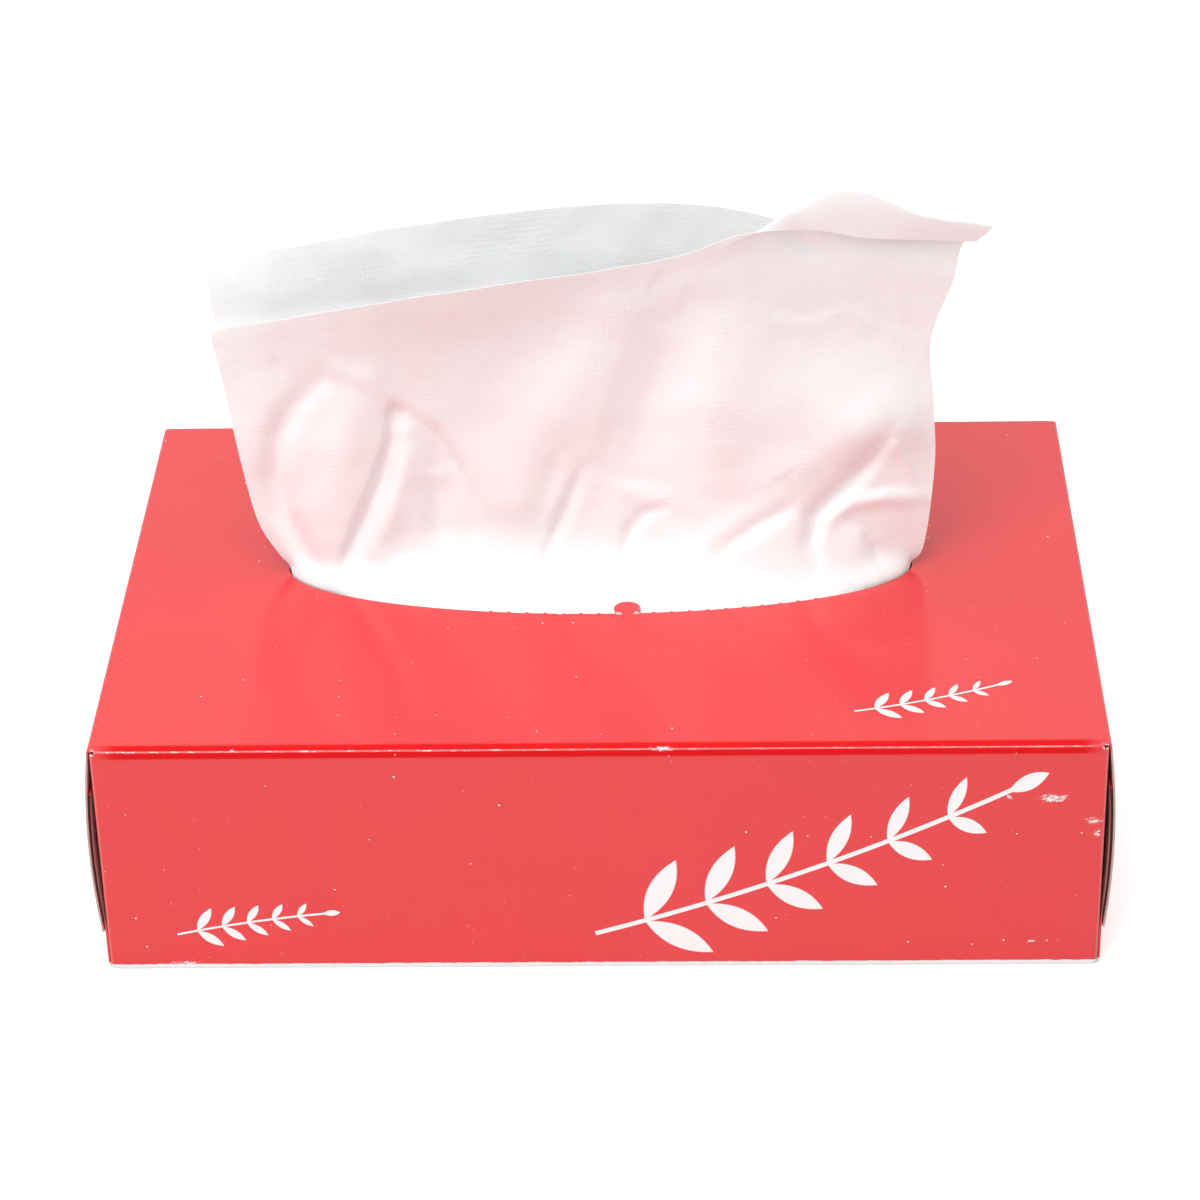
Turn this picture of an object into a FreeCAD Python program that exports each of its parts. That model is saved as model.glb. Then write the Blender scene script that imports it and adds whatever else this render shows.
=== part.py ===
import FreeCAD, Part
import math
import os

# A flat carton of interfolded paper tissues, with two tissues standing in its oval opening.
# Millimetres, +Z up. The origin is the middle of the carton's underside, and its front faces -Y.

# The carton's outside sizes and its board
CARTON_LENGTH = 209.0
CARTON_DEPTH = 139.0
CARTON_HEIGHT = 55.0
BOARD = 0.42
FOLD_RADIUS = 0.8
GLUE = 0.2

# The opening's oval, with what its torn perforation left on the front rim
OPENING_HALF_LENGTH = 68.5
OPENING_HALF_DEPTH = 20.5
OPENING_CENTRE_X = -0.8
OPENING_CENTRE_Y = 4.0
NIB_RADIUS = 0.4
NIB_PITCH = 3.9
NIB_FIRST_X = -24.0
NIB_COUNT = 19
TAB_RADIUS = 2.9
TAB_X = 5.4
TAB_REACH = 2.0

# The flaps that close the two ends
FLAP_PLAY = 0.1
FLAP_WRAP = BOARD + FLAP_PLAY
FLAP_SIDE_GAP = 0.75
TOP_FLAP_END = 9.3
TOP_FLAP_END_OUT = 0.65
BULGE_HEIGHT = 33.0
BULGE_OUT = 1.7
BOTTOM_FLAP_ROOM = 11.0
DUST_FLAP_ROOM = 11.5
DUST_FLAP_GAP = 0.9
DUST_FLAP_TAPER = 6.0
SEAM_FLAP_HEIGHT = 14.0
BACK_PANEL_LIFT = 0.5
SEAM_GLUE_LOW = 3.0
SEAM_GLUE_HIGH = 12.0
SEAM_GLUE_ROOM = 6.0
FLAP_GLUE_LOW = 16.0
FLAP_GLUE_HIGH = 24.0
FLAP_GLUE_ROOM = 24.5

# The pack of tissues, and the room round it in the carton
PACK_END_ROOM = 4.5
PACK_SIDE_ROOM = 3.5
PACK_HEAD_ROOM = 12.16
STACK_ROUND = 1.5

# The two standing tissues
LEAF = 0.3
LEAF_GAP = 0.1
FRONT_TURN_RADIUS = 0.5
BACK_TURN_RADIUS = 1.0
FRONT_CREASE_ROOM = 10.0
RISE_HEIGHT = 1.0
LEAF_COLUMNS = 17
LEAF_ROWS = 12
GATHER_DEPTH = 0.9

HALF_LENGTH = CARTON_LENGTH / 2
HALF_DEPTH = CARTON_DEPTH / 2
SIDE_FOLD_X = HALF_LENGTH - FLAP_WRAP
TUBE_END_X = SIDE_FOLD_X - 1.25 * FOLD_RADIUS
SEAM_Y = HALF_DEPTH - BOARD - GLUE
HALF_LEAF = HALF_LENGTH - PACK_END_ROOM
HALF_PACK = HALF_DEPTH - PACK_SIDE_ROOM
STACK_TOP = CARTON_HEIGHT - BOARD - PACK_HEAD_ROOM
UNDER_LEAF_LEVEL = STACK_TOP + LEAF_GAP + LEAF / 2
OVER_LEAF_LEVEL = UNDER_LEAF_LEVEL + LEAF + 4 * LEAF_GAP


def block(x0, x1, y0, y1, z0, z1):
    return Part.makeBox(x1 - x0, y1 - y0, z1 - z0, FreeCAD.Vector(x0, y0, z0))


def mirrored(shape):
    """The same shape at the other end of the carton."""
    return shape.mirror(FreeCAD.Vector(0, 0, 0), FreeCAD.Vector(1, 0, 0))


def fold(shape, axis, places, radius):
    """Round the edges that run along an axis through the given places on the other two."""
    others = [i for i in range(3) if i != axis]
    edges = []
    for edge in shape.Edges:
        start, end = edge.Vertexes[0].Point, edge.Vertexes[-1].Point
        for place in places:
            ends = [abs(p[i] - q) for p in (start, end) for i, q in zip(others, place)]
            if max(ends) < BOARD / 20 and abs(start[axis] - end[axis]) > 2 * BOARD:
                edges.append(edge)
    return shape.makeFillet(radius, edges)


def circle_through(a, b, c):
    """The centre and radius of the circle through three points on a plane."""
    (ax, ay), (bx, by), (cx, cy) = a, b, c
    d = 2 * (ax * (by - cy) + bx * (cy - ay) + cx * (ay - by))
    aa, bb, cc = ax * ax + ay * ay, bx * bx + by * by, cx * cx + cy * cy
    x = (aa * (by - cy) + bb * (cy - ay) + cc * (ay - by)) / d
    y = (aa * (cx - bx) + bb * (ax - cx) + cc * (bx - ax)) / d
    return x, y, math.hypot(ax - x, ay - y)


# The outer face of the right top flap, seen from the front, is an arc of this circle
BULGE_X, BULGE_Z, BULGE_RADIUS = circle_through(
    (HALF_LENGTH, CARTON_HEIGHT),
    (HALF_LENGTH + BULGE_OUT, BULGE_HEIGHT),
    (HALF_LENGTH + TOP_FLAP_END_OUT, TOP_FLAP_END),
)


def bulged(depth, thickness, half_width, z0, z1):
    """A layer of the right end, at a depth under the outer face and following its bulge."""
    centre = FreeCAD.Vector(BULGE_X, -half_width, BULGE_Z)
    along = FreeCAD.Vector(0, 1, 0)
    outer = Part.makeCylinder(BULGE_RADIUS - depth, 2 * half_width, centre, along)
    inner = Part.makeCylinder(BULGE_RADIUS - depth - thickness, 2 * half_width, centre, along)
    kept = block(HALF_LENGTH / 2, CARTON_LENGTH, -half_width, half_width, z0, z1)
    return outer.cut(inner).common(kept)


def tube():
    """The four panels, folded round, with the seam flap inside the back one."""
    end = TUBE_END_X
    shape = block(-end, end, -HALF_DEPTH, SEAM_Y, 0, BOARD).multiFuse([
        block(-end, end, -HALF_DEPTH, -HALF_DEPTH + BOARD, 0, CARTON_HEIGHT),
        block(-end, end, -HALF_DEPTH, HALF_DEPTH, CARTON_HEIGHT - BOARD, CARTON_HEIGHT),
        block(-end, end, HALF_DEPTH - BOARD, HALF_DEPTH, BACK_PANEL_LIFT, CARTON_HEIGHT),
        block(-end, end, SEAM_Y - BOARD, SEAM_Y, 0, SEAM_FLAP_HEIGHT),
    ]).removeSplitter()
    front, back, seam = -HALF_DEPTH, HALF_DEPTH, SEAM_Y
    low, high = BOARD, CARTON_HEIGHT - BOARD
    inner = [(front + BOARD, low), (front + BOARD, high), (back - BOARD, high), (seam - BOARD, low)]
    outer = [(front, 0), (front, CARTON_HEIGHT), (back, CARTON_HEIGHT), (seam, 0)]
    shape = fold(shape, 0, inner, FOLD_RADIUS - BOARD)
    return fold(shape, 0, outer, FOLD_RADIUS)


def top_flap():
    """The right top flap: out of the top panel, over the end and down."""
    width = HALF_DEPTH - FLAP_SIDE_GAP
    over = block(TUBE_END_X, HALF_LENGTH - BOARD / 2, -width, width, CARTON_HEIGHT - BOARD, CARTON_HEIGHT)
    shape = over.fuse(bulged(0, BOARD, width, TOP_FLAP_END, CARTON_HEIGHT)).removeSplitter()
    inside_z = CARTON_HEIGHT - BOARD
    inside_x = BULGE_X + math.sqrt((BULGE_RADIUS - BOARD) ** 2 - (inside_z - BULGE_Z) ** 2)
    shape = fold(shape, 1, [(inside_x, inside_z)], FOLD_RADIUS - BOARD)
    return fold(shape, 1, [(HALF_LENGTH, CARTON_HEIGHT)], FOLD_RADIUS)


def bottom_flap():
    """The right bottom flap: up from the bottom panel, then along the inside of the top flap."""
    width = HALF_DEPTH - FLAP_SIDE_GAP
    radius = BULGE_RADIUS - BOARD - GLUE
    joint = BULGE_Z - math.sqrt(radius ** 2 - (HALF_LENGTH - BULGE_X) ** 2)
    shape = block(TUBE_END_X, HALF_LENGTH, -width, width, 0, BOARD).multiFuse([
        block(HALF_LENGTH - BOARD, HALF_LENGTH, -width, width, 0, joint),
        bulged(BOARD + GLUE, BOARD, width, joint, CARTON_HEIGHT - BOTTOM_FLAP_ROOM),
    ]).removeSplitter()
    shape = fold(shape, 1, [(HALF_LENGTH - BOARD, BOARD)], FOLD_RADIUS - BOARD)
    return fold(shape, 1, [(HALF_LENGTH, 0)], FOLD_RADIUS)


def dust_flap(side):
    """A right dust flap, folded in from the front panel (side -1) or the back panel (side 1)."""
    edge = side * HALF_DEPTH
    y0, y1 = sorted((edge, edge - side * BOARD))
    low, high = DUST_FLAP_GAP, CARTON_HEIGHT - DUST_FLAP_GAP
    free = side * DUST_FLAP_ROOM
    past_fold = edge - side * 2 * FOLD_RADIUS
    lower = [(edge, low), (past_fold, low), (free, low + DUST_FLAP_TAPER)]
    upper = [(free, high - DUST_FLAP_TAPER), (past_fold, high), (edge, high), (edge, low)]
    points = [FreeCAD.Vector(SIDE_FOLD_X - BOARD, y, z) for y, z in lower + upper]
    flap = Part.Face(Part.makePolygon(points)).extrude(FreeCAD.Vector(BOARD, 0, 0))
    shape = block(TUBE_END_X, SIDE_FOLD_X, y0, y1, low, high).fuse(flap)
    kept = block(TUBE_END_X, SIDE_FOLD_X, -HALF_DEPTH, HALF_DEPTH, low, high)
    shape = shape.common(kept).removeSplitter()
    shape = fold(shape, 2, [(SIDE_FOLD_X - BOARD, edge - side * BOARD)], FOLD_RADIUS - BOARD)
    return fold(shape, 2, [(SIDE_FOLD_X, edge)], FOLD_RADIUS)


def rim_y(x):
    """How far forward the opening's rim lies at a place along the carton."""
    across = (x - OPENING_CENTRE_X) / OPENING_HALF_LENGTH
    return OPENING_CENTRE_Y - OPENING_HALF_DEPTH * math.sqrt(1 - across ** 2)


def opening():
    """What was torn out of the top panel: the oval, less the nibs and the tab on its front rim."""
    centre = FreeCAD.Vector(OPENING_CENTRE_X, OPENING_CENTRE_Y, CARTON_HEIGHT - 2 * BOARD)
    oval = Part.Ellipse(centre, OPENING_HALF_LENGTH, OPENING_HALF_DEPTH)
    hole = Part.Face(Part.Wire(oval.toShape())).extrude(FreeCAD.Vector(0, 0, 3 * BOARD))
    tab = FreeCAD.Vector(TAB_X, rim_y(TAB_X) + TAB_REACH, centre.z)
    left = [Part.makeCylinder(TAB_RADIUS, 3 * BOARD, tab)]
    for i in range(NIB_COUNT):
        x = NIB_FIRST_X + i * NIB_PITCH
        if abs(x - TAB_X) > TAB_RADIUS + NIB_RADIUS:
            place = FreeCAD.Vector(x, rim_y(x), centre.z)
            left.append(Part.makeCylinder(NIB_RADIUS, 3 * BOARD, place))
    return hole.cut(left)


def carton():
    ends = [top_flap(), bottom_flap(), dust_flap(-1), dust_flap(1)]
    shape = tube().multiFuse(ends + [mirrored(end) for end in ends]).removeSplitter()
    return shape.cut(opening())


def seam_glue():
    length = SIDE_FOLD_X - SEAM_GLUE_ROOM
    return block(-length, length, SEAM_Y, HALF_DEPTH - BOARD, SEAM_GLUE_LOW, SEAM_GLUE_HIGH)


def flap_glue():
    """The glue between the right top flap and the right bottom flap, shrunk a little off the top one."""
    shrunk = GLUE / 3
    width = HALF_DEPTH - FLAP_GLUE_ROOM
    return bulged(BOARD + shrunk, GLUE - shrunk, width, FLAP_GLUE_LOW, FLAP_GLUE_HIGH)


def tissue_stack():
    shape = block(-HALF_LEAF, HALF_LEAF, -HALF_PACK, HALF_PACK, BOARD, STACK_TOP)
    corners = [(y, z) for y in (-HALF_PACK, HALF_PACK) for z in (BOARD, STACK_TOP)]
    return fold(shape, 0, corners, STACK_ROUND)


# Each level is a line across the standing half, from its left edge to its right, at five places.
# The levels run from the flat part on the pack, under the panel, through the rim and up. A place is
# a percentage of half the leaf's length, one of half the pack's depth, and rise heights over the crease.
FRONT_LEVELS = [
    [(-100, -71.2, 0), (-50, -71.2, 0), (0, -71.2, 0), (50, -71.2, 0), (100, -71.2, 0)],
    [(-98, -63.6, 0), (-49, -63.6, 0), (0, -63.6, 0), (49, -63.6, 0), (98, -63.6, 0)],
    [(-84, -33.3, 4), (-44, -39.4, 5.5), (0, -43.9, 6), (44, -39.4, 5.5), (84, -31.8, 4)],
    [(-64.5, 3, 8.8), (-36, -12.9, 9.1), (0, -14.8, 9.1), (36, -12.9, 9.1), (63, 4.5, 8.8)],
    [(-67.5, 4.5, 15), (-37, -6.1, 15.5), (0, -6.1, 15.5), (37, -6.1, 15.5), (66.5, 6.1, 15)],
    [(-75.5, 6.1, 29), (-39, 0, 29), (0, 0, 29), (38, 0.8, 30), (72, 6.8, 29)],
    [(-80, 7.6, 46), (-41, 2.3, 49), (0, 2.3, 53), (39, 4.5, 56), (72, 7.6, 48)],
    [(-82, 7.6, 60), (-43, -1.5, 68), (0, -2.3, 75), (42, 0.8, 86), (73, 4.5, 76)],
    [(-82.8, 7.6, 67.5), (-44.5, -6.1, 77), (0, -6.8, 87), (46, -9.1, 97), (82, -12.1, 92)],
]
BACK_LEVELS = [
    [(-100, 75.8, 0), (-50, 75.8, 0), (0, 75.8, 0), (50, 75.8, 0), (100, 75.8, 0)],
    [(-98, 68.2, 0), (-49, 68.2, 0), (0, 68.2, 0), (49, 68.2, 0), (98, 68.2, 0)],
    [(-84, 40.9, 3.5), (-44, 47, 4.5), (0, 51.5, 5), (44, 47, 4.5), (84, 40.9, 3.5)],
    [(-61, 12.1, 8.3), (-38, 25.5, 8.5), (0, 31.5, 8.6), (38, 25.2, 8.5), (59.5, 12.1, 8.3)],
    [(-66, 14.4, 16), (-38, 26.5, 17), (0, 31.1, 17), (38, 26.5, 17), (64, 14.4, 16)],
    [(-76, 18.2, 34), (-40, 25.8, 35), (0, 29.5, 36), (38, 26.5, 36), (70, 18.9, 34)],
    [(-81.5, 21.2, 56), (-42, 24.2, 60), (0, 25, 63), (36, 25, 63), (71, 22.7, 58)],
    [(-84.1, 24.2, 79.5), (-42, 22, 87), (0, 21.2, 92.5), (37, 22.7, 90), (70, 25.8, 80)],
]


def on_leaf(place, level_zero):
    """The point that a place in a net stands for."""
    x, y, z = place
    return FreeCAD.Vector(x * HALF_LEAF / 100, y * HALF_PACK / 100, z * RISE_HEIGHT + level_zero)


def curve_through(points, places):
    curve = Part.BSplineCurve()
    curve.interpolate(Points=points, Parameters=places)
    return curve


def skin_over(grid):
    """A smooth surface drawn over rows of points, which meets the grid's four corners."""
    knots = [list(range(len(side) - 2)) for side in (grid, grid[0])]
    counts = [[4] + [1] * (len(knot) - 2) + [4] for knot in knots]
    surface = Part.BSplineSurface()
    surface.buildFromPolesMultsKnots(grid, counts[0], counts[1], knots[0], knots[1], False, False, 3, 3)
    return surface


def gather(across, along, phase):
    """How far a gather pushes the leaf off its smooth form, most at the rim and less above it."""
    swell = math.sin(math.pi * min(1.0, max(0.0, (along - 0.2) / 0.75))) ** 1.5
    wave = math.cos(4.6 * math.pi * across + phase) + 0.5 * math.cos(7.4 * math.pi * across - phase)
    edge = 1 - across ** 4
    return GATHER_DEPTH * swell * edge * wave


def middle_of_leaf(levels, level_zero):
    """Rows of points on the smooth middle of a standing half."""
    columns = [[on_leaf(place, level_zero) for place in column] for column in zip(*levels)]
    middle = columns[len(columns) // 2]
    steps = [0.0] + [a.distanceToPoint(b) for a, b in zip(middle, middle[1:])]
    places = [sum(steps[:i + 1]) / sum(steps) for i in range(len(steps))]
    lengthways = [curve_through(column, places) for column in columns]
    crossways = [2 * i / (len(columns) - 1) - 1 for i in range(len(columns))]
    rows = []
    for row in range(LEAF_ROWS):
        line = curve_through([curve.value(row / (LEAF_ROWS - 1)) for curve in lengthways], crossways)
        rows.append([line.value(2 * i / (LEAF_COLUMNS - 1) - 1) for i in range(LEAF_COLUMNS)])
    return rows


def normal_at(rows, i, j):
    """The direction square to a grid of points at one of them. The first row lies flat."""
    before, after = max(i - 1, 0), min(i + 1, len(rows) - 1)
    left, right = max(j - 1, 0), min(j + 1, len(rows[0]) - 1)
    normal = (rows[i][right] - rows[i][left]).cross(rows[after][j] - rows[before][j])
    if i == 0:
        normal = FreeCAD.Vector(0, 0, normal.z)
    return normal.normalize()


def gathered(rows, phase):
    """The grid with its gathers pushed in."""
    moved = []
    for i, row in enumerate(rows):
        along = i / (len(rows) - 1)
        across = [2 * j / (len(row) - 1) - 1 for j in range(len(row))]
        moved.append([p + normal_at(rows, i, j) * gather(across[j], along, phase) for j, p in enumerate(row)])
    return moved


def standing_half(levels, level_zero, phase):
    """The half of a tissue that goes through the opening, as a closed solid."""
    rows = gathered(middle_of_leaf(levels, level_zero), phase)
    faces = []
    for half in (LEAF / 2, -LEAF / 2):
        grid = [[p + normal_at(rows, i, j) * half for j, p in enumerate(row)] for i, row in enumerate(rows)]
        faces.append(skin_over(grid))
    u0, u1, v0, v1 = faces[0].bounds()
    edges = [[face.vIso(v).toShape() for face in faces] for v in (v0, v1)]
    edges += [[face.uIso(u).toShape() for face in faces] for u in (u0, u1)]
    walls = [Part.makeRuledSurface(pair[0], pair[1], 1) for pair in edges]
    shell = Part.makeShell([face.toShape() for face in faces] + walls)
    shell.sewShape()
    solid = Part.makeSolid(shell)
    if solid.Volume < 0:
        solid.reverse()
    return solid


def crease_and_lying_half(crease_y, start_y, free_y, low, turn):
    """The other half, lying on the pack, and the turn at the crease, up to where the leaf starts to rise."""
    side = 1 if crease_y > 0 else -1
    high = low + 2 * turn
    turn_y = crease_y - side * (turn + LEAF / 2)
    lower = sorted((free_y, turn_y))
    upper = sorted((start_y, turn_y))
    flats = [
        block(-HALF_LEAF, HALF_LEAF, lower[0], lower[1], low - LEAF / 2, low + LEAF / 2),
        block(-HALF_LEAF, HALF_LEAF, upper[0], upper[1], high - LEAF / 2, high + LEAF / 2),
    ]
    centre = FreeCAD.Vector(-HALF_LEAF, turn_y, low + turn)
    along = FreeCAD.Vector(1, 0, 0)
    outer = Part.makeCylinder(turn + LEAF / 2, 2 * HALF_LEAF, centre, along)
    inner = Part.makeCylinder(turn - LEAF / 2, 2 * HALF_LEAF, centre, along)
    beyond = sorted((turn_y, crease_y + side))
    kept = block(-HALF_LEAF, HALF_LEAF, beyond[0], beyond[1], low - turn, high + turn)
    return outer.cut(inner).common(kept).multiFuse(flats).removeSplitter()


def front_tissue():
    standing = standing_half(FRONT_LEVELS, OVER_LEAF_LEVEL + 2 * FRONT_TURN_RADIUS, 0.6)
    crease_y, free_y = FRONT_CREASE_ROOM - HALF_PACK, HALF_PACK - 4 * LEAF
    start_y = on_leaf(FRONT_LEVELS[0][0], 0).y
    lying = crease_and_lying_half(crease_y, start_y, free_y, OVER_LEAF_LEVEL, FRONT_TURN_RADIUS)
    return standing.fuse(lying)


def back_tissue():
    standing = standing_half(BACK_LEVELS, UNDER_LEAF_LEVEL + 2 * BACK_TURN_RADIUS, 2.1)
    start_y = on_leaf(BACK_LEVELS[0][0], 0).y
    lying = crease_and_lying_half(HALF_PACK, start_y, -HALF_PACK, UNDER_LEAF_LEVEL, BACK_TURN_RADIUS)
    return standing.fuse(lying)


os.makedirs("parts", exist_ok=True)
carton().exportStep("parts/carton.step")
tissue_stack().exportStep("parts/tissue_stack.step")
front_tissue().exportStep("parts/front_tissue.step")
back_tissue().exportStep("parts/back_tissue.step")
seam_glue().exportStep("parts/seam_glue.step")
flap_glue().exportStep("parts/right_flap_glue.step")
mirrored(flap_glue()).exportStep("parts/left_flap_glue.step")
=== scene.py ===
import bmesh
import bpy
import math
import numpy as np
from mathutils import Matrix, Vector, noise


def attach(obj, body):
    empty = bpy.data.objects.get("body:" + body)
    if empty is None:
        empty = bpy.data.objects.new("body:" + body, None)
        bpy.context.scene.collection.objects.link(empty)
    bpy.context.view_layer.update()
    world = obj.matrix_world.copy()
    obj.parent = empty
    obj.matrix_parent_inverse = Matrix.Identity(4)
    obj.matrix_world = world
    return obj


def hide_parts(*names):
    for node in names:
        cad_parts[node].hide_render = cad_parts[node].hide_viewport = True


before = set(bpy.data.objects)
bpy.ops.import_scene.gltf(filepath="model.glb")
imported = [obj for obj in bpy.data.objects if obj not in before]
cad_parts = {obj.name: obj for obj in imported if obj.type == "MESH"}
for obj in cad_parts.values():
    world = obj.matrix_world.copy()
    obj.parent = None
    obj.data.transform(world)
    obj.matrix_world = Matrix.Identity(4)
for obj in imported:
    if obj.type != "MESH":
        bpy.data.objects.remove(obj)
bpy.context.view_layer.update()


# The carton: one blank of coated board, die-cut, creased and glued, printed glossy red outside and
# plain inside. It is worn white in patches along its front crease and chipped at its corners, and its raw
# edges show at the end flaps and round the torn opening. Its colour also holds painted light: a pale
# highlight line and a darker red shade band along the front crease, and painted shade on the inner flap's
# cut edge. The solid's shape is right, so it stays.
CARTON_HALF_LENGTH, CARTON_FRONT_Y, CARTON_TOP_Z = 104.5, -69.5, 55.0
SIDE_CREASE_X = 103.98
CREASE_RADIUS = 0.8
# The outer face of the right top flap, seen from the front, is an arc: its centre and its radius
FLAP_ARC_X, FLAP_ARC_Z, FLAP_ARC_RADIUS = -82.48, 29.49, 188.71
# The inner flap's cut edge lies more than one board deep, and the outer flap covers it down to its end.
# That cut edge is painted dark, as painted shade in the gap between the flaps
INNER_FLAP_DEPTH, OUTER_FLAP_END = 0.5, 9.5
# The third red, darker and deeper, is painted shade along the front crease
RED, DULL_RED, CREASE_SHADE_RED = (0.76, 0.021, 0.025), (0.70, 0.018, 0.025), (0.72, 0.006, 0.008)
WHITE_INK = (0.9, 0.89, 0.89)
BARE_COATING = (0.87, 0.85, 0.85), (0.93, 0.92, 0.92)
RAW_BOARD = (0.78, 0.70, 0.65), (0.86, 0.80, 0.75)
RAW_EDGE = (0.46, 0.29, 0.26), (0.58, 0.41, 0.38)
# Painted shade: the near-black brown given to the inner flap's cut edge in place of the shadow in the gap
PAINTED_SHADE_EDGE = (0.065, 0.016, 0.015)


class Reading:
    """A number read off a surface, which adds its own nodes when it is reckoned with."""

    def __init__(self, finish, socket):
        self.finish, self.socket = finish, socket

    def sum(self, operation, *values):
        return self.finish.node("ShaderNodeMath", {"operation": operation}, dict(enumerate(values)))

    def __add__(self, other):
        return self.sum("ADD", self, other)

    def __sub__(self, other):
        return self.sum("SUBTRACT", self, other)

    def __rsub__(self, other):
        return self.sum("SUBTRACT", other, self)

    def __mul__(self, other):
        return self.sum("MULTIPLY", self, other)

    def __truediv__(self, other):
        return self.sum("DIVIDE", self, other)

    def __abs__(self):
        return self.sum("ABSOLUTE", self)

    def __lt__(self, other):
        return self.sum("LESS_THAN", self, other)

    def __gt__(self, other):
        return self.sum("GREATER_THAN", self, other)

    __radd__ = __add__
    __rmul__ = __mul__

    def least(self, other):
        return self.sum("MINIMUM", self, other)

    def most(self, other):
        return self.sum("MAXIMUM", self, other)

    def whole(self):
        return self.sum("FLOOR", self)

    def root(self):
        return self.sum("SQRT", self)

    def rise(self, low, high):
        """0 below low, 1 above high, and a smooth ramp between. High may be the lower of the two."""
        places = {"Value": self, "From Min": low, "From Max": high, "To Min": 0.0, "To Max": 1.0}
        return self.finish.node("ShaderNodeMapRange", {"interpolation_type": "SMOOTHSTEP"}, places)


class Finish:
    """One material, laid node by node."""

    def __init__(self, name):
        self.material = bpy.data.materials.new(name)
        self.material.use_nodes = True
        self.tree = self.material.node_tree
        self.tree.nodes.clear()
        self.output = self.tree.nodes.new("ShaderNodeOutputMaterial")

    def node(self, kind, settings=None, values=None, out=0):
        made = self.tree.nodes.new(kind)
        for name, value in (settings or {}).items():
            setattr(made, name, value)
        for name, value in (values or {}).items():
            if isinstance(value, Reading):
                self.tree.links.new(value.socket, made.inputs[name])
            elif isinstance(value, tuple) and len(made.inputs[name].default_value) == 4:
                made.inputs[name].default_value = (*value, 1.0)
            else:
                made.inputs[name].default_value = value
        return Reading(self, made.outputs[out])

    def blend(self, share, first, second):
        """A colour between two, by share."""
        return self.node("ShaderNodeMix", {"data_type": "RGBA"}, {0: share, 6: first, 7: second}, 2)

    def places(self):
        """The three coordinates of the surface, in millimetres."""
        point = self.node("ShaderNodeTexCoord", out="Object")
        return [self.node("ShaderNodeSeparateXYZ", None, {0: point}, i) * 1000.0 for i in range(3)]

    def facings(self):
        """How squarely the surface faces along each of the three axes, from -1 to 1."""
        normal = self.node("ShaderNodeNewGeometry", out="True Normal")
        return [self.node("ShaderNodeSeparateXYZ", None, {0: normal}, i) for i in range(3)]

    def joined(self, x, y, z):
        """One place from three coordinates."""
        return self.node("ShaderNodeCombineXYZ", None, {0: x, 1: y, 2: z})

    def grain(self, where, size, detail=2.0, roughness=0.5):
        """Soft noise from 0 to 1, with lumps of about the given size."""
        values = {"Vector": where, "Scale": 1.0 / size, "Detail": detail, "Roughness": roughness}
        return self.node("ShaderNodeTexNoise", None, values)

    def raised(self, height, distance, strength=1.0):
        """Relief from a height between 0 and 1, its distance in millimetres."""
        values = {"Height": height, "Distance": distance / 1000.0, "Strength": strength}
        return self.node("ShaderNodeBump", None, values)

    def surface(self, **values):
        named = {name.replace("_", " "): value for name, value in values.items()}
        shader = self.node("ShaderNodeBsdfPrincipled", None, named)
        self.tree.links.new(shader.socket, self.output.inputs["Surface"])


def dress(node, finish):
    """Puts a finish on a solid of the frame."""
    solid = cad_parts[node]
    solid.data.materials.clear()
    solid.data.materials.append(finish.material)


def sprig(along, across, pitch, count, bend):
    """A plain leaf sprig printed solid: pairs of leaves along a bent stem, and one leaf at its tip."""
    length, width, slant = 1.25 * pitch, 0.2 * pitch, math.radians(48)
    stray = abs(across - along * along * bend)
    pair = (along / pitch).whole()
    size = 1.0 - pair * (0.5 / count)
    step = along - pair * pitch
    root = (step * math.cos(slant) + stray * math.sin(slant)) / (size * length)
    side = abs(stray * math.cos(slant) - step * math.sin(slant)) / (size * 4 * width)
    leaves = (root * (1.0 - root) - side).rise(0.0, 0.03)
    tip = (along - count * pitch) / length * 1.8
    end = (tip * (1.0 - tip) - stray / (4 * width) * 1.4).rise(0.0, 0.03)
    paired = (along > 0.0) * (along < count * pitch)
    on_stem = (along > -0.8 * pitch) * (along < (count + 0.2) * pitch)
    stem = (0.035 * pitch + 0.1 - stray).rise(0.0, 0.08) * on_stem
    return (leaves * paired).most(end).most(stem)


def turned(first, second, origin, degrees):
    """Two coordinates measured from an origin, along a direction and across it."""
    cosine, sine = math.cos(math.radians(degrees)), math.sin(math.radians(degrees))
    first, second = first - origin[0], second - origin[1]
    return first * cosine + second * sine, second * cosine - first * sine


def flap_depth(across, up):
    """How far a point lies under the outer face of the bulging top flap at its end."""
    out, high = abs(across) - FLAP_ARC_X, up - FLAP_ARC_Z
    return FLAP_ARC_RADIUS - (out * out + high * high).root()


print_work = Finish("glossy_red_print")
x, y, z = print_work.places()
nx, ny, nz = print_work.facings()
spot = print_work.joined(x, y, z)

# The parts of the blank: its outside looks away from the carton's middle by more than a few
# millimetres, and the cut edges of the long end flaps look to the front, to the back or down
LOOKS_AWAY, SQUARE_ON, DOWNWARD = 5.0, 0.7, 0.5
outside = (nx * x + ny * y + nz * (z - CARTON_TOP_Z / 2)) > LOOKS_AWAY
flap_cut = (abs(x) > CARTON_HALF_LENGTH - 0.02) * (abs(ny) > SQUARE_ON)
flap_cut = flap_cut.most((abs(x) > SIDE_CREASE_X + 0.1) * (nz < -SQUARE_ON) * (z > 2.0))
under_flap = (flap_depth(x, z) > INNER_FLAP_DEPTH) * (z > OUTER_FLAP_END)
underside = nz < -DOWNWARD
on_end = abs(nx) > SQUARE_ON
on_front = y < CARTON_FRONT_Y + 0.9
on_top = z > CARTON_TOP_Z - 0.3

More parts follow.
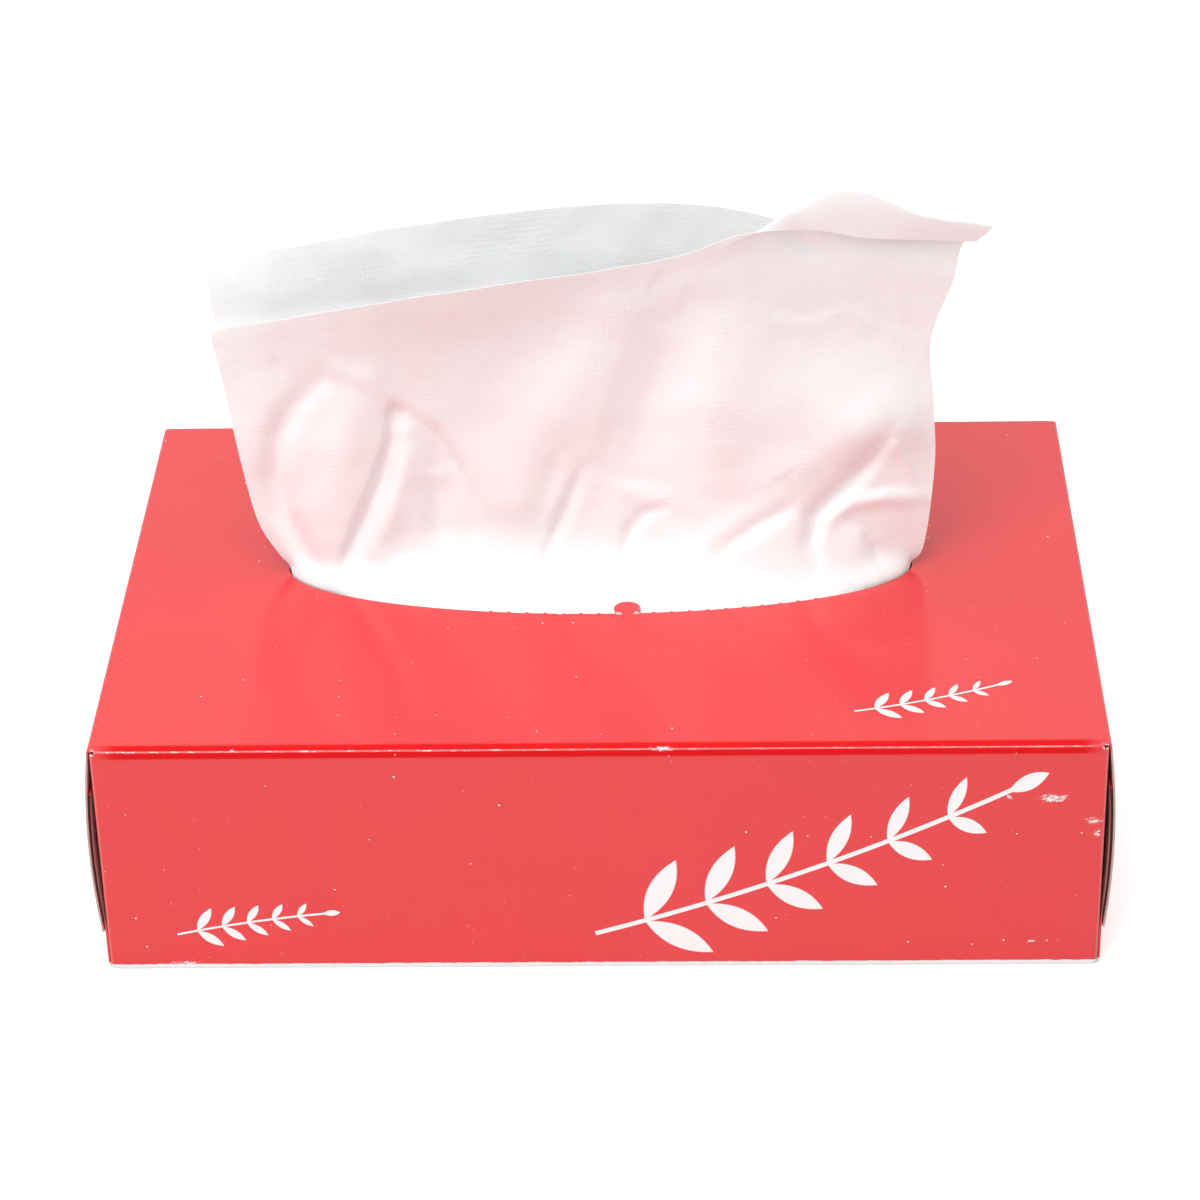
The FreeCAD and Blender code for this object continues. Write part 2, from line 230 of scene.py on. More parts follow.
# Print, then the white sprigs: the panel of each, the place where it starts there, the way it runs in
# degrees, the pitch of its leaves, how many pairs it has, and how far its stem bends
FRONT_PANEL, TOP_PANEL = (x, z, on_front), (x, y, on_top)
SPRIGS = ((FRONT_PANEL, (9.0, 12.0), 18.0, 13.5, 6, 0.0011),
          (FRONT_PANEL, (-85.0, 10.0), 12.0, 5.4, 5, -0.002),
          (TOP_PANEL, (57.0, -55.0), 14.0, 5.4, 5, 0.003))
mottle = print_work.grain(spot, 18.0, 3.0)
red = print_work.blend(mottle.rise(0.3, 0.75) * 0.3, RED, DULL_RED)
motif = 0.0
for (first, second, panel), start, degrees, pitch, pairs, bend in SPRIGS:
    ahead, aside = turned(first, second, start, degrees)
    motif = (sprig(ahead, aside, pitch, pairs, bend) * panel).most(motif)
printed = print_work.blend(motif, red, WHITE_INK)

# The front top crease: how far round it a point lies, from 0 where it leaves the front to 1.6 where it
# joins the top, and on over both panels. A darker, deeper red band is painted there as the crease's shade,
# and along its ridge a pale line is painted as a highlight, with white rubbed patches, most on the left
round_crease = (z - (CARTON_TOP_Z - CREASE_RADIUS)) + (y - CARTON_FRONT_Y)
near_front = y < CARTON_FRONT_Y + 3.0
ends_fade = abs(x).rise(104.2, 98.0)
# Painted shade: a darker, deeper red band along the curved crease
crease_shade_band = round_crease.rise(-1.4, -0.8) * round_crease.rise(3.6, 2.6) * near_front * ends_fade
printed = print_work.blend(crease_shade_band * 0.85, printed, CREASE_SHADE_RED)
rubbing = print_work.grain(print_work.joined(x * 0.7, y * 1.5, z * 1.5), 1.1, 5.0, 0.75)
# Painted highlight: an even pale line along the crease's ridge; the ragged white patches over it are rubbed
# wear
ridge = round_crease.rise(0.42, 0.62) * round_crease.rise(1.05, 0.85) * near_front
most_on_left = x.rise(10.0, -50.0) * 0.5 + 0.25
highlight_and_wear = ridge * (0.22 + rubbing.rise(0.50, 0.60) * most_on_left) * abs(x).rise(104.0, 98.0)
# A faint pale line along each side crease of the front
side_crease = abs(x).rise(SIDE_CREASE_X - 0.7, SIDE_CREASE_X - 0.3) * (y < CARTON_FRONT_Y + 0.45)
highlight_and_wear = highlight_and_wear.most(side_crease * 0.12)

# Chips: the place of each, and how far it reaches both ways. One lies on the crease, some small ones on
# the opening's front rim, and the others on the front panel
CREASE_CHIP = ((13.2, 0.9), (2.0, 0.6))
RIM_CHIPS = ((3.6, -16.4), (7.4, -16.3), (-9.0, -16.3))
RIM_CHIP_REACH = (0.8, 0.45)
FRONT_CHIPS = (((93.0, 42.2), (2.4, 0.8)), ((101.6, 36.5), (1.4, 0.8)), ((102.4, 33.5), (0.7, 0.8)),
               ((89.9, 6.2), (0.9, 0.25)), ((-88.0, 1.6), (2.6, 0.5)), ((-103.4, 54.5), (0.5, 0.5)),
               ((103.4, 54.5), (0.7, 0.5)), ((84.0, 42.6), (0.7, 0.5)))
streak = print_work.grain(print_work.joined(x * 0.5, y * 1.6, z * 1.6), 0.5, 5.0, 0.8)


def chip(a, b, place, reach):
    """A spot round a place on two coordinates, made ragged by the streaks of the board's fibres."""
    far_a, far_b = (a - place[0]) / reach[0], (b - place[1]) / reach[1]
    return (far_a * far_a + far_b * far_b + streak * 14.0 - 6.6).rise(1.0, 0.6)


chipped = chip(x, round_crease, *CREASE_CHIP) * near_front
for place in RIM_CHIPS:
    chipped = chipped.most(chip(x, y, place, RIM_CHIP_REACH) * on_top)
for place, reach in FRONT_CHIPS:
    chipped = chipped.most(chip(x, z, place, reach) * on_front)

# Flecks of two sizes, on cells laid over each panel: the spacing of the cells, the share of them that
# hold a fleck, and how far it reaches
FLECKS = ((7.0, 0.35, 0.22), (3.5, 0.35, 0.10))
panel_spot = print_work.joined(x + y * on_end, y * (1.0 - on_end) + z, 0.0)
flecks = 0.0
for spacing, share, reach in FLECKS:
    kind, values = {"voronoi_dimensions": "2D"}, {"Vector": panel_spot, "Scale": 1.0 / spacing}
    cells = print_work.node("ShaderNodeTexVoronoi", kind, values, "Distance")
    chance = Reading(print_work, cells.socket.node.outputs["Color"])
    pick, girth = (print_work.node("ShaderNodeSeparateColor", None, {0: chance}, i) for i in range(2))
    flecks = (reach * (0.25 + girth * girth) - cells * spacing).rise(0.0, 0.12) * (pick < share) + flecks

# The coating shows bare on the underside, in a ragged strip at the front panel's foot, and where the
# print is rubbed, chipped or flecked; along the crease ridge an even pale line of it is a painted
# highlight. The inside and the cut edges are raw board, except the inner flap's cut edge, which is painted
# near-black as shade
strip_edge = print_work.grain(spot, 2.5, 3.0)
strip = (z + strip_edge * 0.5).rise(1.65, 1.5) * on_front
bare_and_highlight = highlight_and_wear.most(chipped).most(flecks.least(0.85)).most(strip)
fibres = print_work.grain(spot, 0.25, 3.0, 0.6)
coated = print_work.blend(fibres.rise(0.3, 0.8), *BARE_COATING)
outer = print_work.blend(underside, print_work.blend(bare_and_highlight, printed, coated), coated)
inner = print_work.blend(fibres.rise(0.25, 0.8), *RAW_BOARD)
cut_edge = print_work.blend(fibres.rise(0.3, 0.7), *RAW_EDGE)
# Painted shade: the inner flap's cut edge, deep in the gap under the outer flap, is coloured near-black
cut_edge = print_work.blend(under_flap, cut_edge, PAINTED_SHADE_EDGE)
shown = print_work.blend(flap_cut, print_work.blend(outside, inner, outer), cut_edge)

# The varnish is a coat over the print. It is lost where the coating is bare, and where the crease has
# stretched it. The relief's heights are in millimetres
DENT_X, DENT_Y = 31.2, -64.7
ORANGE_PEEL, DENT_DEPTH, FIBRE_NAP = 0.012, 0.35, 0.03
glossy = outside * (1.0 - flap_cut) * (1.0 - underside) * (1.0 - bare_and_highlight) * (1.0 - crease_shade_band)
dent = ((x - DENT_X) * (x - DENT_X) + (y - DENT_Y) * (y - DENT_Y)).rise(9.0, 0.5) * on_top
orange_peel = print_work.grain(spot, 1.6, 2.0)
relief = orange_peel * ORANGE_PEEL - dent * DENT_DEPTH + fibres * (1.0 - outside) * FIBRE_NAP
print_work.surface(Base_Color=shown, Roughness=0.6, Specular_IOR_Level=0.06, Coat_Weight=glossy,
                   Coat_Roughness=0.16, Coat_IOR=1.6, Normal=print_work.raised(relief, 1.0, 0.35))
dress("carton", print_work)


# The glue: a line along the seam flap and a strip under each outer end flap. It is hot-melt, pressed
# thin, dried yellowish and slightly uneven. It shows only where a flap lifts.
DRIED_GLUE = (0.72, 0.62, 0.36), (0.88, 0.82, 0.62)
glue = Finish("dried_glue")
lump = glue.grain(glue.joined(*glue.places()), 2.2, 4.0)
glue_colour = glue.blend(lump, *DRIED_GLUE)
glue.surface(Base_Color=glue_colour, Roughness=0.3 + lump * 0.3, Normal=glue.raised(lump, 0.15))
for strip_name in ("seam_glue", "left_flap_glue", "right_flap_glue"):
    dress(strip_name, glue)


# The pack: interfolded two-ply tissues, pressed into a block and dropped into the carton. Its front
# and back are the rounded folds, its ends the cut edges, and no two layers lie quite even.
PACK_HALF_LENGTH, PACK_HALF_DEPTH, PACK_FOOT, PACK_HEAD = 100.0, 66.0, 0.44, 42.4
PACK_LAYERS, LAYER_SLACK, LAYER_GAP, LAYER_ROUND = 28, 1.4, 0.01, 0.42
TISSUE_WHITE = (0.912, 0.926, 0.93), (0.94, 0.95, 0.954)
# Painted shade: the grey laid in the hollows of the tissue's wrinkles
WRINKLE_SHADE_GREY = (0.89, 0.898, 0.902)


def crepe(name, plies):
    """Soft white tissue, wrinkled across and lightly embossed, with painted shade greying the hollows of
    its wrinkles. In the pack its wrinkles lie along the plies, and on a leaf they follow the leaf's own
    map."""
    paper = Finish(name)
    if plies:
        px, py, pz = paper.places()
        drawn, wrinkle_size = paper.joined(px * 0.2, py * 0.2, pz * 2.6), 0.8
    else:
        leaf_map = paper.node("ShaderNodeUVMap", {"uv_map": "leaf"})
        px, py = (paper.node("ShaderNodeSeparateXYZ", None, {0: leaf_map}, i) * 1000.0 for i in range(2))
        drawn, wrinkle_size = paper.joined(px * 0.32, py * 1.5, 0.0), 0.55
    even = paper.joined(px, py, 0.0)
    wrinkle = paper.grain(drawn, wrinkle_size, 4.0, 0.62)
    cloud = paper.grain(even, 9.0, 3.0, 0.55)
    fuzz = paper.grain(even, 0.45, 3.0, 0.7)
    boss = paper.node("ShaderNodeTexVoronoi", {"voronoi_dimensions": "2D"},
                      {"Vector": even, "Scale": 1 / 1.3, "Randomness": 0.25})
    patches = paper.grain(even, 14.0, 1.0).rise(0.5, 0.62)
    pressed = boss.rise(0.15, 0.55) * patches
    tone = paper.blend(cloud, *TISSUE_WHITE)
    # Painted shade: the wrinkles' hollows are greyed
    tone = paper.blend(wrinkle.rise(0.6, 0.25) * 0.6, tone, WRINKLE_SHADE_GREY)
    relief = wrinkle * 0.16 + fuzz * 0.03 + pressed * 0.05 + cloud * 0.25
    paper.surface(Base_Color=tone, Roughness=0.82 + fuzz * 0.12, Specular_IOR_Level=0.2,
                  Normal=paper.raised(relief, 1.0, 0.75))
    return paper


def piece_from(name, bm, finish):
    """A finished piece from its mesh in millimetres: placed, smooth, riding the body."""
    bmesh.ops.scale(bm, vec=(0.001,) * 3, verts=bm.verts)
    for face in bm.faces:
        face.smooth = True
    mesh = bpy.data.meshes.new(name)
    bm.to_mesh(mesh)
    bm.free()
    mesh.materials.append(finish.material)
    piece = bpy.data.objects.new(name, mesh)
    bpy.context.scene.collection.objects.link(piece)
    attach(piece, "root")
    return piece


pack = bmesh.new()
layer_height = (PACK_HEAD - PACK_FOOT) / PACK_LAYERS
for layer in range(PACK_LAYERS):
    slack = [abs(noise.noise(Vector((layer * 1.7, side, 0.3)))) * LAYER_SLACK for side in (0.0, 5.0)]
    thick = layer_height * (1.0 - LAYER_GAP)
    size = (2 * (PACK_HALF_LENGTH - slack[0]), 2 * (PACK_HALF_DEPTH - slack[1]), thick)
    centre = (0.0, 0.0, PACK_FOOT + (layer + 0.5) * layer_height)
    box = Matrix.Translation(centre) @ Matrix.Diagonal((*size, 1.0))
    corners = bmesh.ops.create_cube(pack, size=1.0, matrix=box)["verts"]
    long_edges = [e for e in {e for v in corners for e in v.link_edges}
                  if abs(e.verts[0].co.x - e.verts[1].co.x) > PACK_HALF_LENGTH]
    bmesh.ops.bevel(pack, geom=long_edges, offset=layer_height * LAYER_ROUND, offset_type="OFFSET",
                    segments=3, profile=0.5, affect="EDGES", material=-1)
pack_piece = piece_from("tissue_pack", pack, crepe("pressed_tissue", plies=True))
for face in pack_piece.data.polygons:
    face.use_smooth = False
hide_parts("tissue_stack")


# The back tissue: one leaf of the pack, creased along its middle. One half lies on the pack, and the
# other turns up at the back, bunches through the opening and stands behind the first, nearly smooth.

# The camera's eye, and the plain oval of the opening with the room that a leaf keeps from its rim
EYE = np.array([22.208, -717.902, 480.487])
OPENING_CENTRE, OPENING_HALF, RIM_GAP, RIM_REACH = (-0.8, 4.0), (68.5, 20.5), 0.6, 2.4
LEAF_HALF_LENGTH, LEAF_THICKNESS = 100.0, 0.1
LEAF_STEP, LEAF_COLUMNS = 0.9, 200
CRUMPLE_SCALE = 0.07
LEAF_PAPER = crepe("soft_tissue", plies=False)


def level_row(across, y, z):
    """A row of a net that lies level and straight."""
    return [(x, y, z) for x in across]


# How far across the leaf the net's columns lie, the depth and height of its lying half and its crease,
# and its net from there up to its top edge
BACK_PLACES = [-1.0, -0.66, -0.33, 0.0, 0.33, 0.66, 1.0]
BACK_LYING = [(-66.0, 42.67), (0.0, 42.67), (55.0, 42.67), (65.0, 42.67), (65.85, 43.1), (66.0, 43.67),
              (65.85, 44.24), (65.0, 44.67)]
BACK_NET = [
    level_row((-100, -66, -33, 0, 33, 66, 100), 50, 44.7),
    level_row((-98, -65, -33, 0, 33, 65, 98), 44, 44.8),
    [(-84, 27, 48.2), (-57, 30, 48.9), (-29, 33, 49.6), (0, 34, 49.7),
     (29, 33, 49.6), (57, 30, 48.9), (84, 27, 48.2)],
    [(-67, 6.5, 53), (-49.5, 13.5, 53.2), (-27, 18.6, 53.2), (0, 20.8, 53.3),
     (27, 18.6, 53.2), (48.5, 13.5, 53.2), (65.4, 6.5, 53)],
    [(-68.5, 9, 60.7), (-50, 14, 61.2), (-26, 18, 61.5), (0, 20.5, 61.7),
     (26, 18, 61.5), (48, 14, 61.2), (66, 9, 60.7)],
    [(-76, 12, 78.7), (-54, 15.5, 79.5), (-27, 18, 80.2), (0, 19.5, 80.7),
     (26, 18, 80.4), (49, 15.5, 79.7), (70, 12.5, 78.7)],
    [(-81.5, 14, 100.7), (-56, 15.5, 103), (-29, 16.5, 106), (0, 16.5, 107.7),
     (25, 16.5, 107.5), (47, 16, 105.5), (70, 15, 102.7)],
    [(-83.5, 15.2, 114.5), (-57, 15.2, 119.5), (-30, 15, 124), (-1, 14.5, 126.8),
     (23.5, 15, 126.6), (45.5, 16, 122.5), (69, 17, 116.5)],
    [(-84.2, 16, 124), (-57, 15, 129.4), (-30.5, 14.5, 134.2), (-2, 14, 137.3),
     (23, 15, 136.6), (44.5, 17, 130.2), (68, 18.5, 122.5)],
]
# Soft folds: the places they pass as the camera sees them, how far they stand out towards it (or lie
# back, below 0), and how wide they are on each side
BACK_FOLDS = [
    ([(-80, 118), (-50, 122), (-20, 127)], -0.5, 3.0, 3.0),
    ([(-74, 124), (-71, 110), (-66, 92)], 0.8, 4.0, 6.0),
    ([(-45, 130), (-42, 112), (-38, 92), (-36, 72)], -1.3, 5.0, 4.0),
    ([(-20, 120), (-17, 95), (-14, 70)], 1.2, 5.0, 6.0),
    ([(10, 134), (8, 110), (4, 82), (2, 66)], -1.0, 5.0, 5.0),
    ([(30, 122), (31, 95), (27, 66)], 1.4, 5.0, 4.0),
    ([(46, 118), (45, 90), (41, 66)], -1.4, 4.0, 4.0),
    ([(58, 108), (57, 84), (52, 64)], 1.1, 4.0, 4.0),
    ([(-60, 100), (-58, 80), (-52, 64)], -1.5, 3.0, 4.0),
]


def smooth_line(stops, at, where):
    """Places on a smooth line through the stops, which lie at the given distances along it."""
    stops, at = np.array(stops, float), np.array(at, float)
    rows = stops.reshape(len(at), -1)
    slope = np.gradient(rows, at, axis=0)
    i = np.clip(np.searchsorted(at, where, side="right") - 1, 0, len(at) - 2)
    gap = (at[i + 1] - at[i])[:, None]
    t = (where - at[i])[:, None] / gap
    line = rows[i] + (3 * t**2 - 2 * t**3) * (rows[i + 1] - rows[i])
    line = line + gap * ((t - 2 * t**2 + t**3) * slope[i] + (t**3 - t**2) * slope[i + 1])
    return line.reshape((len(where),) + stops.shape[1:])


def seen_from_front(place):
    """Where points show to the camera, on the upright plane through the carton's middle."""
    share = EYE[1] / (EYE[1] - place[..., 1])
    return EYE[0] + (place[..., 0] - EYE[0]) * share, EYE[2] + (place[..., 2] - EYE[2]) * share


def folded(place, folds, weight):
    """Pushes soft folds and creases into a leaf, towards the camera or away. Each fades at its ends."""
    across, up = seen_from_front(place)
    height = np.zeros(across.shape)
    for points, tall, left_width, right_width in folds:
        points = np.array(points, float)
        spans = np.linalg.norm(np.diff(points, axis=0), axis=1)
        passed = np.concatenate([[0.0], np.cumsum(spans)]) / spans.sum()
        nearest = np.full(across.shape, 1e9)
        side, along = np.zeros(across.shape), np.zeros(across.shape)
        for k, (start, span) in enumerate(zip(points, spans)):
            line = (points[k + 1] - start) / span
            ahead = np.clip((across - start[0]) * line[0] + (up - start[1]) * line[1], 0.0, span)
            off_x, off_z = across - start[0] - ahead * line[0], up - start[1] - ahead * line[1]
            far = np.hypot(off_x, off_z)
            closer = far < nearest
            nearest = np.where(closer, far, nearest)
            side = np.where(closer, line[0] * off_z - line[1] * off_x, side)
            along = np.where(closer, passed[k] + ahead / span * (passed[k + 1] - passed[k]), along)
        width = np.where(side > 0, left_width, right_width)
        fade = np.sin(np.pi * np.clip(along, 0.07, 0.93)) ** 0.6
        height += tall * fade * np.exp(-((nearest / width) ** 2))
    share = (place[..., 1:2] - (height * weight)[..., None] - EYE[1]) / (place[..., 1:2] - EYE[1])
    return EYE + (place - EYE) * share


def hugging(place, side):
    """Draws a leaf up to the rim at both ends of the opening, in front (side -1) or behind (side 1)."""
    share = np.clip((place[..., 0] - OPENING_CENTRE[0]) / OPENING_HALF[0], -1.0, 1.0)
    rim = OPENING_CENTRE[1] + side * (OPENING_HALF[1] * np.sqrt(1.0 - share**2) - RIM_GAP)
    near_rim = np.exp(-(((place[..., 2] - CARTON_TOP_Z) / RIM_REACH) ** 2))
    at_ends = np.clip(np.abs(share) * 5.0 - 3.4, 0.0, 1.0)
    place[..., 1] += near_rim * at_ends * np.maximum((rim - place[..., 1]) * side, 0.0) * side
    return place


def leaf(name, lying, places, net, folds, first_free, crumple, side):
    """A leaf from its lying half up through its net, as a grid of points with its folds pushed in. The
    folds and the crumple grow from the net's first free row to the next one."""
    net = np.array(net, float)
    gaps = np.linalg.norm(np.diff(net, axis=0), axis=2).mean(axis=1)
    at = np.concatenate([[0.0], np.cumsum(gaps)])
    steps = [max(1, round(gap / LEAF_STEP)) for gap in gaps]
    parts = [np.linspace(at[k], at[k + 1], n, endpoint=False) for k, n in enumerate(steps)]
    where = np.concatenate(parts + [at[-1:]])
    across = np.linspace(-1.0, 1.0, LEAF_COLUMNS + 1)
    rows = smooth_line(net, at, where)
    rows = np.swapaxes(smooth_line(np.swapaxes(rows, 0, 1), places, across), 0, 1)
    weight = np.clip((where - at[first_free]) / (at[first_free + 1] - at[first_free]), 0.0, 1.0)[:, None]
    spots = rows * CRUMPLE_SCALE + np.array([0.0, 0.0, len(name)])
    rough = np.array([[noise.fractal(Vector(spot), 1.1, 2.1, 2) for spot in row] for row in spots])
    rows = folded(rows, folds, weight)
    rows[..., 1] += rough * crumple * weight
    rows = hugging(rows, side)
    flat = [level_row(across * LEAF_HALF_LENGTH, y, z) for y, z in lying]
    place = np.concatenate([np.array(flat), rows])
    middle = place[:, LEAF_COLUMNS // 2]
    length = np.concatenate([[0.0], np.cumsum(np.linalg.norm(np.diff(middle, axis=0), axis=1))])
    bm = bmesh.new()
    down = len(place) - 1
    bmesh.ops.create_grid(bm, x_segments=LEAF_COLUMNS, y_segments=down, size=0.5)
    leaf_map = bm.loops.layers.uv.new("leaf")
    for vert in bm.verts:
        i, j = round((vert.co.x + 0.5) * LEAF_COLUMNS), round((vert.co.y + 0.5) * down)
        for loop in vert.link_loops:
            loop[leaf_map].uv = (i / LEAF_COLUMNS * LEAF_HALF_LENGTH / 500.0, length[j] / 1000.0)
        vert.co = place[j][i]
    for edge in bm.edges:
        edge.smooth = not edge.is_boundary
    piece = piece_from(name, bm, LEAF_PAPER)
    thickness = piece.modifiers.new("leaf_thickness", "SOLIDIFY")
    thickness.thickness, thickness.offset = LEAF_THICKNESS / 1000.0, 0.0
    return piece


back_piece = leaf("back_leaf", BACK_LYING, BACK_PLACES, BACK_NET, BACK_FOLDS, 3, 0.5, 1)
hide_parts("back_tissue")


# The front tissue: the next leaf, creased the other way, so that it turns up at the front. It is
# bunched hard by the front rim, runs back nearly flat, stands up in soft pleats, leans forward along
# its top edge, and its right corner curls over into a narrow hood.
FRONT_PLACES = [-1.0, -0.75, -0.5, -0.25, 0.0, 0.25, 0.375, 0.5, 0.66, 0.83, 1.0]
FRONT_LYING = [(64.8, 43.37), (20.0, 43.37), (-45.0, 43.37), (-55.5, 43.37), (-55.93, 43.6), (-56.0, 43.87),
               (-55.93, 44.14), (-55.5, 44.37)]
FRONT_NET = [
    level_row((-100, -75, -50, -25, 0, 25, 37.5, 50, 66, 83, 100), -47, 44.4),
    level_row((-98, -73, -49, -24, 0, 24, 37, 49, 65, 81.5, 98), -42, 44.5),
    [(-84, -21, 48.2), (-65, -25, 49), (-44, -27.5, 49.6), (-22, -29, 49.9),
     (0, -29.5, 50), (22, -29, 49.9), (33, -28.5, 49.8), (44, -27.5, 49.6),
     (57.5, -26, 49.3), (71.5, -23.8, 48.8), (84, -20.5, 48.2)],
    [(-68.2, 2.3, 53.6), (-54, -8.2, 53.8), (-40, -13.6, 53.8), (-21, -16.2, 53.7),
     (0, -17, 53.6), (21, -16, 53.7), (31, -14.9, 53.8), (40, -13.4, 53.8),
     (49.5, -10, 53.8), (58.4, -5.6, 53.8), (66.4, 2, 53.6)],
    [(-68.5, 2.6, 55.4), (-56, -5.2, 55.2), (-42.5, -9.6, 55.2), (-23, -11.4, 55),
     (-1.5, -11.6, 54.6), (20, -11.2, 55), (30, -10.4, 55.2), (39.2, -9, 55.6),
     (48.8, -6.9, 56), (58.6, -3.2, 56.2), (67, 2.6, 55.5)],
    [(-71, 3.2, 58.8), (-60.2, -2, 57.5), (-46.9, -2, 59.8), (-26.3, -1.5, 61.9),
     (-5.7, -1, 59.3), (16.9, -2, 63.5), (26.9, -2, 66.9), (36.6, -2, 68.8),
     (47, -1.6, 66.5), (58, 0.8, 64), (69.8, 2.6, 59.5)],
    [(-75.5, 4.5, 66.9), (-61.4, 1, 70.1), (-47.1, 0.5, 72.7), (-26.4, 1, 73.5),
     (-4.8, 2, 72.7), (17, 1, 76.8), (27.4, 1, 79.1), (37.5, 1, 81.5),
     (47.6, 1.4, 81.9), (61.2, 2.3, 80.5), (71.9, 3.5, 77.8)],
    [(-79.3, 5, 88.6), (-62.1, 2.5, 90.8), (-46.3, 2.5, 91.3), (-25.2, 3, 92.1),
     (-3.7, 3.5, 92.8), (17.8, 2, 95.8), (28.3, 2, 96.4), (38.5, 2, 96.8),
     (49.6, 2, 96.7), (62, 2.5, 96.1), (71.5, 3.5, 94.5)],
    [(-80.6, 5, 98.4), (-61.9, 2.2, 103.1), (-43.8, 1.2, 105.8), (-23.5, 1.8, 108.4),
     (-2.2, 3, 109.7), (18.6, 2.4, 112.8), (28.8, 2.4, 114.2), (38.9, 2.9, 115.7),
     (51.1, 3.3, 115.5), (62.7, 3.1, 114.5), (70.7, 2.4, 112.3)],
    [(-81.4, 4.8, 104.3), (-61.9, 1, 109.2), (-42.6, -1.2, 113), (-22.5, -0.4, 115.9),
     (-1.4, 1, 117.8), (19.1, 0.8, 121.9), (29.2, 0.7, 125.6), (39.2, 0, 130.1),
     (51.3, -0.6, 130.2), (63.7, -1.4, 129.6), (74.4, -2.4, 126.8)],
    [(-82, 4.6, 107.8), (-61.7, -0.6, 113.6), (-41.8, -3.6, 118), (-21.6, -2.8, 120.9),
     (-0.8, -0.6, 122.8), (19.4, -0.5, 126.7), (29.4, -1.5, 132.7), (39.5, -2.6, 139),
     (51.3, -2.8, 139.8), (65, -4, 139.7), (76.5, -5, 137.5)],
    [(-82.3, 4.5, 109), (-61.7, -1.3, 115.4), (-41.5, -4.7, 119.9), (-21.2, -3.9, 122.8),
     (-0.5, -1.3, 124.6), (19.5, -1, 128.4), (29.4, -3, 135.5), (39.6, -5.4, 143.2),
     (52.2, -8.6, 150.4), (66.6, -11, 145.7), (80.7, -12, 143.5)],
    [(-82.4, 4.3, 110.3), (-61.6, -2, 116.9), (-41.3, -5.9, 121.9), (-20.9, -5, 124.8),
     (-0.3, -2, 126.3), (19.6, -1.5, 130), (29.4, -3.4, 136.3), (39.6, -6.2, 144.3),
     (52.3, -9.6, 152), (66.9, -12, 146.7), (81.5, -13, 144.6)],
    [(-82.5, 4.1, 112.1), (-61.4, -2.9, 119), (-40.8, -7.4, 124.6), (-20.5, -6.5, 127.4),
     (0, -3.2, 128.7), (19.6, -2.4, 132.3), (29.6, -3.9, 137), (40.3, -6.4, 143.8),
     (52.8, -9.3, 149.2), (67, -11.6, 145.6), (81.1, -12.6, 143.4)],
    [(-82.6, 4, 113.6), (-61.2, -3.7, 120.8), (-40.6, -8.7, 126.8), (-20.2, -7.7, 129.6),
     (0.1, -4.2, 130.8), (19.6, -3.2, 134.3), (30, -4.8, 138.9), (43.1, -5.6, 140.5),
     (54.6, -5.4, 138.6), (67.1, -6.8, 138.5), (78.5, -7.6, 138.3)],
]
